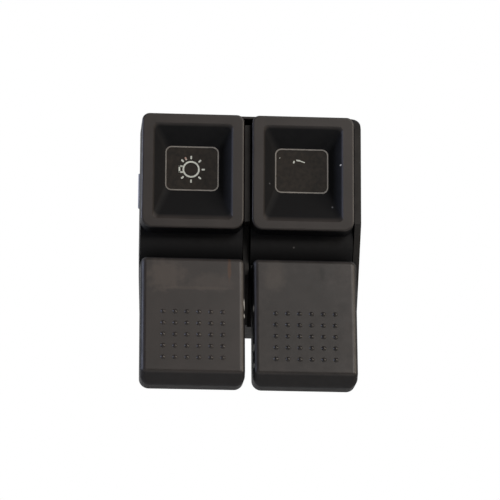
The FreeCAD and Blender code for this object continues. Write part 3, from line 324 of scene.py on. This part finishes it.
# The rubbing fades out behind the faces, where the painted shade of the recesses takes over, and
# the pad's bevel takes a share of the rubbed tone.
RUB_FULL_UNSHADED, RUB_GONE_SHADE_FULL, BEVEL_RUB, BEVEL_FADE = 0.15, 0.75, 0.35, 0.3
key_plastic, key_where = new_material("key_satin_black_abs_moulded")
key_parts = add_node(key_plastic, "ShaderNodeSeparateXYZ", None, {0: key_where})
behind_frame = add_node(key_plastic, "ShaderNodeMath", {"operation": "SUBTRACT"},
                        {0: key_parts.outputs["Y"], 1: FRAME_FACE * MM})
lean = add_node(key_plastic, "ShaderNodeMath", {"operation": "MULTIPLY_ADD"},
                {0: key_parts.outputs["Z"], 1: -PAD_LEAN,
                 2: (FRAME_FACE - PAD_FACE_TOP + PAD_LEAN * PAD_TOP) * MM})
on_pad = add_node(key_plastic, "ShaderNodeMath", {"operation": "LESS_THAN"},
                  {0: key_parts.outputs["Z"], 1: LEAN_BEGINS * MM})
set_back = add_node(key_plastic, "ShaderNodeMath", {"operation": "MULTIPLY_ADD"},
                    {0: lean.outputs[0], 1: on_pad.outputs[0], 2: behind_frame.outputs[0]})
near_face = add_node(key_plastic, "ShaderNodeMapRange", None,
                     {"Value": set_back.outputs[0], "From Min": RUB_FULL_UNSHADED * MM,
                      "From Max": RUB_GONE_SHADE_FULL * MM, "To Min": 1.0, "To Max": 0.0})
on_bevel = add_node(key_plastic, "ShaderNodeMapRange", None,
                    {"Value": key_parts.outputs["Z"],
                     "From Min": (PAD_BEVEL_TOP - BEVEL_FADE) * MM,
                     "From Max": PAD_BEVEL_TOP * MM, "To Min": BEVEL_RUB, "To Max": 0.0})
wear_and_painted_shade = add_node(key_plastic, "ShaderNodeMath", {"operation": "MAXIMUM"},
                  {0: near_face.outputs[0], 1: on_bevel.outputs[0]}).outputs[0]
print("The pad's face lies", round(FRAME_FACE - PAD_FACE_TOP, 1), "mm in front of the frame's")

# %% [markdown]
# The two blacks are mixed by that mask. The rubbed one drifts in slow clouds, which skin oil and
# cleaning leave. The other is the painted shade of the recesses, too deep for either, so it is
# even.

# %% The two blacks
HANDLING_CLOUD = 7.0
rubbed_black = drifting_shade(key_plastic, key_where, HANDLING_CLOUD, "272321", "2D2826")
# Where the mask is 0, the deep bluish black 0B0C0F is painted shade for the funnel, the waist and
# the sides.
key_colour = add_node(key_plastic, "ShaderNodeMix", {"data_type": "RGBA"},
                      {MIX_FACTOR: wear_and_painted_shade, MIX_FIRST: linear("0B0C0F"),
                       MIX_SECOND: rubbed_black}).outputs[MIX_RESULT]
print("Clouds on the keys are", HANDLING_CLOUD, "mm across")

# %% [markdown]
# ## Marks from use, and one painted shade
# The pads carry faint warm patches with a rim, a brown streak and a small dark scuff. A broad dark
# blob over the right pad's middle is painted shade, which keeps that pad darker than the left one.
# The long inner edges have tiny pale nicks, and a few grains of dust sit on the right key. The
# marks could be painted on an image, but then each needs its place on an unwrapped key. Here each
# one is a soft blob with a place and a size in millimetres, roughened by noise. It reads Object
# coordinates, so it stays on its key when the key rocks.

# %% Marks by place
MARKS = (
    # middle (x, y, z) and half sizes in millimetres, colour, strength
    # left pad: two patches, their rim line and the streak
    ((-21.7, -20.8, -17.4), (4.4, 6, 3.6), "5A5048", 0.30),
    ((-10.3, -20.8, -19.2), (4.6, 6, 2.0), "5A5048", 0.17),
    ((-14.5, -21.0, -20.8), (8.5, 6, 0.4), "564C44", 0.22),
    ((-6.1, -20.5, -16.0), (0.38, 6, 2.7), "4A2F1A", 0.65),
    # right pad: the scuff, a broad painted shade over its middle and one patch
    ((16.7, -20.5, -16.4), (0.6, 6, 1.4), "080503", 0.95),
    ((12.5, -21.0, -28.0), (11.0, 12, 18.0), "141211", 0.60),
    ((5.0, -20.8, -17.4), (2.4, 6, 3.4), "564E46", 0.25),
    # nicks on the long inner edges, first the left key's and then the right key's
    ((-2.35, -20.7, -24.4), (0.25, 0.5, 1.2), "C9C9C5", 0.60),
    ((-2.35, -21.1, -27.6), (0.2, 0.5, 0.5), "C9C9C5", 0.60),
    ((-0.2, -20.6, -25.5), (0.2, 0.6, 0.7), "B9B9B5", 0.60),
    ((-0.2, -21.8, -35.5), (0.2, 0.6, 0.9), "B9B9B5", 0.55),
    ((-0.2, -22.4, -40.2), (0.2, 0.6, 0.6), "B9B9B5", 0.60),
    # dust on the right frame, in its funnel and in the waist
    ((21.9, -15.2, 12.95), (0.17, 1, 0.17), "E6E6E2", 0.95),
    ((20.0, -13.6, 2.4), (0.2, 2, 0.2), "6A6C70", 0.8),
    ((4.3, -13.8, 8.2), (0.18, 2, 0.18), "6A6C70", 0.8),
    ((10.5, -11.5, -7.7), (0.2, 1, 0.2), "606060", 0.7),
)
# Shares of a mark's half size: where it is still whole, where it is gone, and how far noise tears.
MARK_WHOLE, MARK_GONE, TORN_BY = 0.65, 1.35, 0.5
TORN_SIZE, TORN_SPREAD = 1.6, 0.3
torn_noise = add_node(key_plastic, "ShaderNodeTexNoise", None,
                      {"Vector": key_where, "Scale": per_size(TORN_SIZE), "Detail": 4.0})
torn_edge = add_node(key_plastic, "ShaderNodeMapRange", None,
                     {"Value": torn_noise.outputs["Fac"],
                      "From Min": NOISE_MIDDLE - TORN_SPREAD,
                      "From Max": NOISE_MIDDLE + TORN_SPREAD, "To Min": -TORN_BY,
                      "To Max": TORN_BY}).outputs[0]


def soft_mark(material, where, colour, torn, middle, half, tint, amount):
    """Lays one ragged soft-edged mark over a colour, and gives the new colour."""
    offset = add_node(material, "ShaderNodeVectorMath", {"operation": "SUBTRACT"},
                      {0: where, 1: Vector(middle) * MM})
    scaled = add_node(material, "ShaderNodeVectorMath", {"operation": "MULTIPLY"},
                      {0: offset.outputs[0], 1: [per_size(value) for value in half]})
    reach = add_node(material, "ShaderNodeVectorMath", {"operation": "LENGTH"},
                     {0: scaled.outputs[0]})
    ragged = add_node(material, "ShaderNodeMath", {"operation": "ADD"},
                      {0: reach.outputs["Value"], 1: torn})
    inside = add_node(material, "ShaderNodeMapRange", None,
                      {"Value": ragged.outputs[0], "From Min": MARK_WHOLE,
                       "From Max": MARK_GONE, "To Min": amount, "To Max": 0.0})
    laid = add_node(material, "ShaderNodeMix", {"data_type": "RGBA"},
                    {MIX_FACTOR: inside.outputs[0], MIX_FIRST: colour, MIX_SECOND: linear(tint)})
    return laid.outputs[MIX_RESULT]


for mark in MARKS:
    key_colour = soft_mark(key_plastic, key_where, key_colour, torn_edge, *mark)
print("Marks on the keys:", len(MARKS))

# %% [markdown]
# ## The keys' gloss
# Rubbing polishes the grain's tips, so the same mask makes the faces smoother and brighter in
# their highlights. Fingers polish the domes first, and what stands proud of the pad's face is the
# smoothest of all. The grain is the housing's spark-eroded one, a little flatter.

# %% The key's shader
NEW_ROUGHNESS, RUBBED_ROUGHNESS = 0.66, 0.45
NEW_SHINE, RUBBED_SHINE = 0.25, 0.5
DOME_TOP, DOME_FOOT, DOME_POLISH = -0.30, -0.03, -0.10
KEY_SMEAR_SWING, KEY_GRAIN_STRENGTH = 0.04, 0.2
key_smear = smeared_gloss(key_plastic, key_where, SMEAR_SIZE, 0.0, KEY_SMEAR_SWING)
key_gloss = add_node(key_plastic, "ShaderNodeMapRange", None,
                     {"Value": wear_and_painted_shade, "To Min": NEW_ROUGHNESS, "To Max": RUBBED_ROUGHNESS})
dome_polish = add_node(key_plastic, "ShaderNodeMapRange", None,
                       {"Value": set_back.outputs[0], "From Min": DOME_TOP * MM,
                        "From Max": DOME_FOOT * MM, "To Min": DOME_POLISH, "To Max": 0.0})
uneven = add_node(key_plastic, "ShaderNodeMath", {"operation": "ADD"},
                  {0: key_smear, 1: dome_polish.outputs[0]})
key_roughness = add_node(key_plastic, "ShaderNodeMath", {"operation": "ADD"},
                         {0: key_gloss.outputs[0], 1: uneven.outputs[0]})
key_shine = add_node(key_plastic, "ShaderNodeMapRange", None,
                     {"Value": wear_and_painted_shade, "To Min": NEW_SHINE, "To Max": RUBBED_SHINE})
key_pits = add_node(key_plastic, "ShaderNodeTexNoise", None,
                    {"Vector": key_where, "Scale": per_size(GRAIN_SIZE)})
key_bump = add_node(key_plastic, "ShaderNodeBump", None,
                    {"Height": key_pits.outputs["Fac"], "Strength": KEY_GRAIN_STRENGTH,
                     "Distance": GRAIN_DEPTH})
key_shader = add_node(key_plastic, "ShaderNodeBsdfPrincipled", None, {
    "Base Color": key_colour, "Roughness": key_roughness.outputs[0], "IOR": 1.5,
    "Specular IOR Level": key_shine.outputs[0], "Normal": key_bump.outputs[0]})
add_node(key_plastic, "ShaderNodeOutputMaterial", None, {"Surface": key_shader.outputs[0]})
print("Nodes in the key's finish:", len(key_plastic.node_tree.nodes))

# %% [markdown]
# ## Windows
# The window is a smoked polycarbonate plate set in an opal light guide. Only the guide's rim
# shows, as a thin pale border that lets some light through. Unlit, the plate is a brownish
# near-black, which wiping has mottled in spots of about a millimetre and dulled. Both are the
# moulded plastic from above with a coarser grain, because they differ from it only in numbers.
# The bulbs behind are blown glass, clear and smooth, with a faint ripple from blowing.

# %% Smoked plate, light guide and bulb glass
WINDOW_GRAIN, WIPED_SPOTS = 0.8, 1.1
RIPPLE_SIZE, RIPPLE_STRENGTH, RIPPLE_DEPTH = 3.0, 0.15, 0.05 * MM
plate_plastic = moulded_plastic("plate_smoked_polycarbonate", "15110D", "241E18", 0.55, ior=1.58,
                                specular=0.22, grain=WINDOW_GRAIN, cloud=WIPED_SPOTS)
guide_plastic = moulded_plastic("guide_opal_polycarbonate", "87837E", "9A9691", 0.3, ior=1.58,
                                clear=0.25, grain=WINDOW_GRAIN)

bulb_glass, bulb_where = new_material("bulb_clear_glass_blown")
ripple = add_node(bulb_glass, "ShaderNodeTexNoise", None,
                  {"Vector": bulb_where, "Scale": per_size(RIPPLE_SIZE)})
glass_bump = add_node(bulb_glass, "ShaderNodeBump", None,
                      {"Height": ripple.outputs["Fac"], "Strength": RIPPLE_STRENGTH,
                       "Distance": RIPPLE_DEPTH})
glass = add_node(bulb_glass, "ShaderNodeBsdfPrincipled", None, {
    "Base Color": linear("F4F8F8"), "Roughness": 0.03, "IOR": 1.5,
    "Transmission Weight": 1.0, "Normal": glass_bump.outputs[0]})
add_node(bulb_glass, "ShaderNodeOutputMaterial", None, {"Surface": glass.outputs[0]})
print("Window finishes:", plate_plastic.name, guide_plastic.name, bulb_glass.name)

# %% [markdown]
# ## Metals
# Metal strip is rolled, which leaves fine lines along its length. An anisotropic shader could
# hint at them, but the lines themselves, a noise squeezed across and drawn out along the strip,
# also dull and roughen the surface as the real ones do. Real lines are under 0.05 mm apart, so
# they are drawn 0.25 mm apart to show at all. A cloudy tarnish lies over them.

# %% A helper for rolled metal
LINE_SIZE, LINE_STRENGTH, LINE_DEPTH = 0.25, 0.2, 0.01 * MM
LINE_GLOSS_SWING, TARNISH_CLOUD = 0.07, 4.0
# A small share squeezes the coordinates along the strip, so that the noise is drawn out there.
ALONG_Y, ALONG_Z, ALL_WAYS = (1.0, 0.06, 1.0), (1.0, 1.0, 0.06), (1.0, 1.0, 1.0)


def rolled_metal(name, dark, light, roughness, stretch):
    """Metal with fine rolling lines and a cloudy tarnish."""
    material, where = new_material(name)
    along = add_node(material, "ShaderNodeMapping", {"vector_type": "POINT"},
                     {"Vector": where, "Scale": stretch})
    lines = add_node(material, "ShaderNodeTexNoise", None,
                     {"Vector": along.outputs[0], "Scale": per_size(LINE_SIZE), "Detail": 3.0})
    gloss = add_node(material, "ShaderNodeMapRange", None,
                     {"Value": lines.outputs["Fac"], "From Min": NOISE_MIDDLE - GLOSS_SPREAD,
                      "From Max": NOISE_MIDDLE + GLOSS_SPREAD,
                      "To Min": roughness - LINE_GLOSS_SWING,
                      "To Max": roughness + LINE_GLOSS_SWING})
    bump = add_node(material, "ShaderNodeBump", None,
                    {"Height": lines.outputs["Fac"], "Strength": LINE_STRENGTH,
                     "Distance": LINE_DEPTH})
    shader = add_node(material, "ShaderNodeBsdfPrincipled", None, {
        "Base Color": drifting_shade(material, where, TARNISH_CLOUD, dark, light),
        "Metallic": 1.0, "Roughness": gloss.outputs[0], "Normal": bump.outputs[0]})
    add_node(material, "ShaderNodeOutputMaterial", None, {"Surface": shader.outputs[0]})
    return material


print("Rolling lines are drawn", LINE_SIZE, "mm apart")

# %% [markdown]
# The cover screws are zinc plated, with an even pale grain instead of lines. The retaining clips
# and detent springs are rolled spring steel, a darker grey. The terminals are tinned brass, whose
# yellow shows a little through the tin, and the contact strips are bronze, a warm brown gold.

# %% Four metals
screw_steel = rolled_metal("screw_zinc_plated_steel", "A8ABA8", "C4C6C0", 0.36, ALL_WAYS)
spring_steel = rolled_metal("clip_spring_steel_rolled", "77777A", "94949A", 0.34, ALONG_Y)
terminal_brass = rolled_metal("terminal_tinned_brass_rolled", "B8AE94", "CFC8B4", 0.3, ALONG_Y)
contact_bronze = rolled_metal("contact_bronze_rolled", "A8743F", "C08A50", 0.3, ALONG_Z)
print("Metals:", screw_steel.name, spring_steel.name, terminal_brass.name, contact_bronze.name)

# %% [markdown]
# ## Who wears what
# Every CAD node keeps its mesh and gets one finish. Each could be dressed by its own name, but
# nodes of a kind share the end of their name, so a short table of endings picks them all.

# %% Give every CAD node its finish
FINISHES = (
    ("key", key_plastic), ("housing", housing_plastic), ("rear_cover", cover_plastic),
    ("light_guide", guide_plastic), ("symbol_plate", plate_plastic), ("bulb", bulb_glass),
    ("bulb_holder", holder_plastic), ("slider", slider_plastic),
    ("contact_bridge", contact_bronze), ("detent_spring", spring_steel),
    ("retaining_clip", spring_steel), ("cover_screw", screw_steel), ("terminal", terminal_brass),
)
for ending, finish in FINISHES:
    dressed = [node for name, node in nodes.items() if name.endswith(ending)]
    for node in dressed:
        node.data.materials.clear()
        node.data.materials.append(finish)
    print(f"{finish.name}: {len(dressed)} nodes")

# %% [markdown]
# ## The printed lamp
# The left window carries the usual lamp sign in off-white ink: a round bulb, its cap to the left
# and rays all round. One stray ray is worn to a pink smudge. Print could be a pattern in the
# plate's material, but screen ink stands a few hundredths of a millimetre proud and has crisp
# edges from any distance. So it is built flat, from a ring and small bars, and laid on the
# plate's face. The ring is spun from a small rectangle, and each bar is a rounded box.

# %% Helpers that draw in ink
INK_PROUD, INK_SUNK = 0.04, 0.01
PLATE_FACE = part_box("left_symbol_plate")[0].y / MM
INK_FRONT, INK_REAR = PLATE_FACE - INK_PROUD, PLATE_FACE + INK_SUNK
RING_STEPS = 64
END_ROUNDING = 0.35
# An edge runs from front to rear when at least this share of its direction does.
FRONT_TO_REAR = 0.9


def ring(mesh, x, z, outer, inner):
    """A flat ring of ink, spun from a small rectangle."""
    corners = [mesh.verts.new((x + radius, y, z)) for radius, y in
               ((inner, INK_FRONT), (outer, INK_FRONT), (outer, INK_REAR), (inner, INK_REAR))]
    profile = [mesh.edges.new((corners[i], corners[(i + 1) % 4])) for i in range(4)]
    bmesh.ops.spin(mesh, geom=corners + profile, cent=(x, 0, z), axis=(0, 1, 0),
                   angle=2 * math.pi, steps=RING_STEPS, use_merge=True)


def bar(mesh, x, z, length, width, angle):
    """A flat bar of ink with rounded ends, turned about the front-to-back axis."""
    place = (Matrix.Translation((x, (INK_FRONT + INK_REAR) / 2, z))
             @ Matrix.Rotation(-angle, 4, "Y")
             @ Matrix.Diagonal((length, INK_REAR - INK_FRONT, width, 1)))
    box = bmesh.ops.create_cube(mesh, size=1, matrix=place)["verts"]
    # The four corner edges run through the ink, from its front to its rear. Every edge belongs to
    # two corners, so each is taken once, and always in the same order.
    edges = dict.fromkeys(edge for vert in box for edge in vert.link_edges)
    through = [edge for edge in edges
               if abs((edge.verts[0].co - edge.verts[1].co).normalized().y) > FRONT_TO_REAR]
    bmesh.ops.bevel(mesh, geom=through, offset=width * END_ROUNDING, affect="EDGES", segments=2,
                    profile=0.5, material=-1)


print("The ink's front lies at", round(INK_FRONT, 2), "mm")

# %% [markdown]
# The sign is drawn in millimetres from the middle of its ring: first the ring, then the rays
# round it, then the cap's two long sides and its end.

# %% The lamp's ring, rays and cap
RING_X, RING_Z, RING_OUTER, RING_INNER = -15.22, 12.0, 2.15, 1.74
RAY_REACH, RAY_LENGTH, RAY_WIDTH = 3.05, 0.85, 0.42
STRAY_RAY = 116
CAP_SIDE_REACH, CAP_SIDE_LENGTH, CAP_SIDE_WIDTH, CAP_HALF_HEIGHT = 2.6, 1.1, 0.38, 0.77
CAP_END_REACH, CAP_END_LENGTH, CAP_END_WIDTH = 2.92, 1.9, 0.4
lamp_sign = bmesh.new()
ring(lamp_sign, RING_X, RING_Z, RING_OUTER, RING_INNER)
for degrees in (0, 45, 90, STRAY_RAY, 135, 225, 270, 315):
    angle = math.radians(degrees)
    bar(lamp_sign, RING_X + RAY_REACH * math.cos(angle), RING_Z + RAY_REACH * math.sin(angle),
        RAY_LENGTH, RAY_WIDTH, angle)
for up in (-CAP_HALF_HEIGHT, CAP_HALF_HEIGHT):
    bar(lamp_sign, RING_X - CAP_SIDE_REACH, RING_Z + up, CAP_SIDE_LENGTH, CAP_SIDE_WIDTH, 0.0)
bar(lamp_sign, RING_X - CAP_END_REACH, RING_Z, CAP_END_LENGTH, CAP_END_WIDTH, math.pi / 2)
print("Lamp sign faces:", len(lamp_sign.faces))

# %% [markdown]
# ## What is left of the right print
# The right window's sign has worn away, except for a small dot, a short bent streak and a speck.
# They are the same ink, cut down to scraps. The streak takes two bars, which gives it its bend.

# %% The worn scraps
SCRAPS = (
    # middle x and z, length and width in millimetres, turn in radians
    (10.55, 14.5, 0.66, 0.36, 1.35),
    (11.65, 14.93, 1.05, 0.38, -0.15),
    (12.72, 14.62, 1.25, 0.26, -0.35),
    (7.0, 15.5, 0.3, 0.18, 0.8),
)
scraps = bmesh.new()
for scrap in SCRAPS:
    bar(scraps, *scrap)
print("Scrap faces:", len(scraps.faces))

# %% [markdown]
# ## The ink
# Screen ink is a thick, dull paint, pressed on through a fine screen. It lies a little uneven, and
# wear thins it in spots where the dark plate begins to show, so its shade is spotted at half a
# millimetre. The pink smudge is a soft mark, laid as the marks on the keys are. The screen leaves
# a grain of about 0.1 mm, which is drawn at 0.25 mm to show.

# %% Ink
INK_SPOTS, INK_GRAIN, INK_STRENGTH, INK_DEPTH = 0.5, 0.25, 0.3, 0.02 * MM
# The smudge on the stray ray, with the same columns as the marks on the keys.
SMUDGE = ((-16.65, -10.8, 14.95), (0.45, 1, 0.5), "9A7468", 0.85)
ink, ink_where = new_material("print_off_white_screen_ink")
ink_shade = drifting_shade(ink, ink_where, INK_SPOTS, "B4B9B2", "CCD1CB", detail=3.0)
smudged = soft_mark(ink, ink_where, ink_shade, 0.0, *SMUDGE)
ink_grain = add_node(ink, "ShaderNodeTexNoise", None,
                     {"Vector": ink_where, "Scale": per_size(INK_GRAIN)})
ink_bump = add_node(ink, "ShaderNodeBump", None,
                    {"Height": ink_grain.outputs["Fac"], "Strength": INK_STRENGTH,
                     "Distance": INK_DEPTH})
ink_shader = add_node(ink, "ShaderNodeBsdfPrincipled", None, {
    "Base Color": smudged, "Roughness": 0.55, "Normal": ink_bump.outputs[0]})
add_node(ink, "ShaderNodeOutputMaterial", None, {"Surface": ink_shader.outputs[0]})
print("Nodes in the ink:", len(ink.node_tree.nodes))

# %% [markdown]
# ## The two printed pieces
# Each drawing becomes an object that rides on its key's body, so the print rocks with the key.
# The drawing was made in millimetres and the frame is in metres, so the mesh itself is scaled and
# the object stays unscaled. A spin can leave faces inside out, so their normals are set first.

# %% Print on the keys
def ink_piece(name, mesh, body):
    """Turns a flat drawing in millimetres into a printed piece that rides on a body."""
    bmesh.ops.recalc_face_normals(mesh, faces=mesh.faces)
    bmesh.ops.scale(mesh, vec=(MM, MM, MM), verts=mesh.verts)
    data = bpy.data.meshes.new(name)
    mesh.to_mesh(data)
    mesh.free()
    data.materials.append(ink)
    piece = bpy.data.objects.new(name, data)
    bpy.context.scene.collection.objects.link(piece)
    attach(piece, body)
    return piece


lamp_piece = ink_piece("lamp_symbol_print", lamp_sign, "left_key_body")
scrap_piece = ink_piece("worn_print_scraps", scraps, "right_key_body")
print("Printed pieces:", lamp_piece.name, scrap_piece.name)
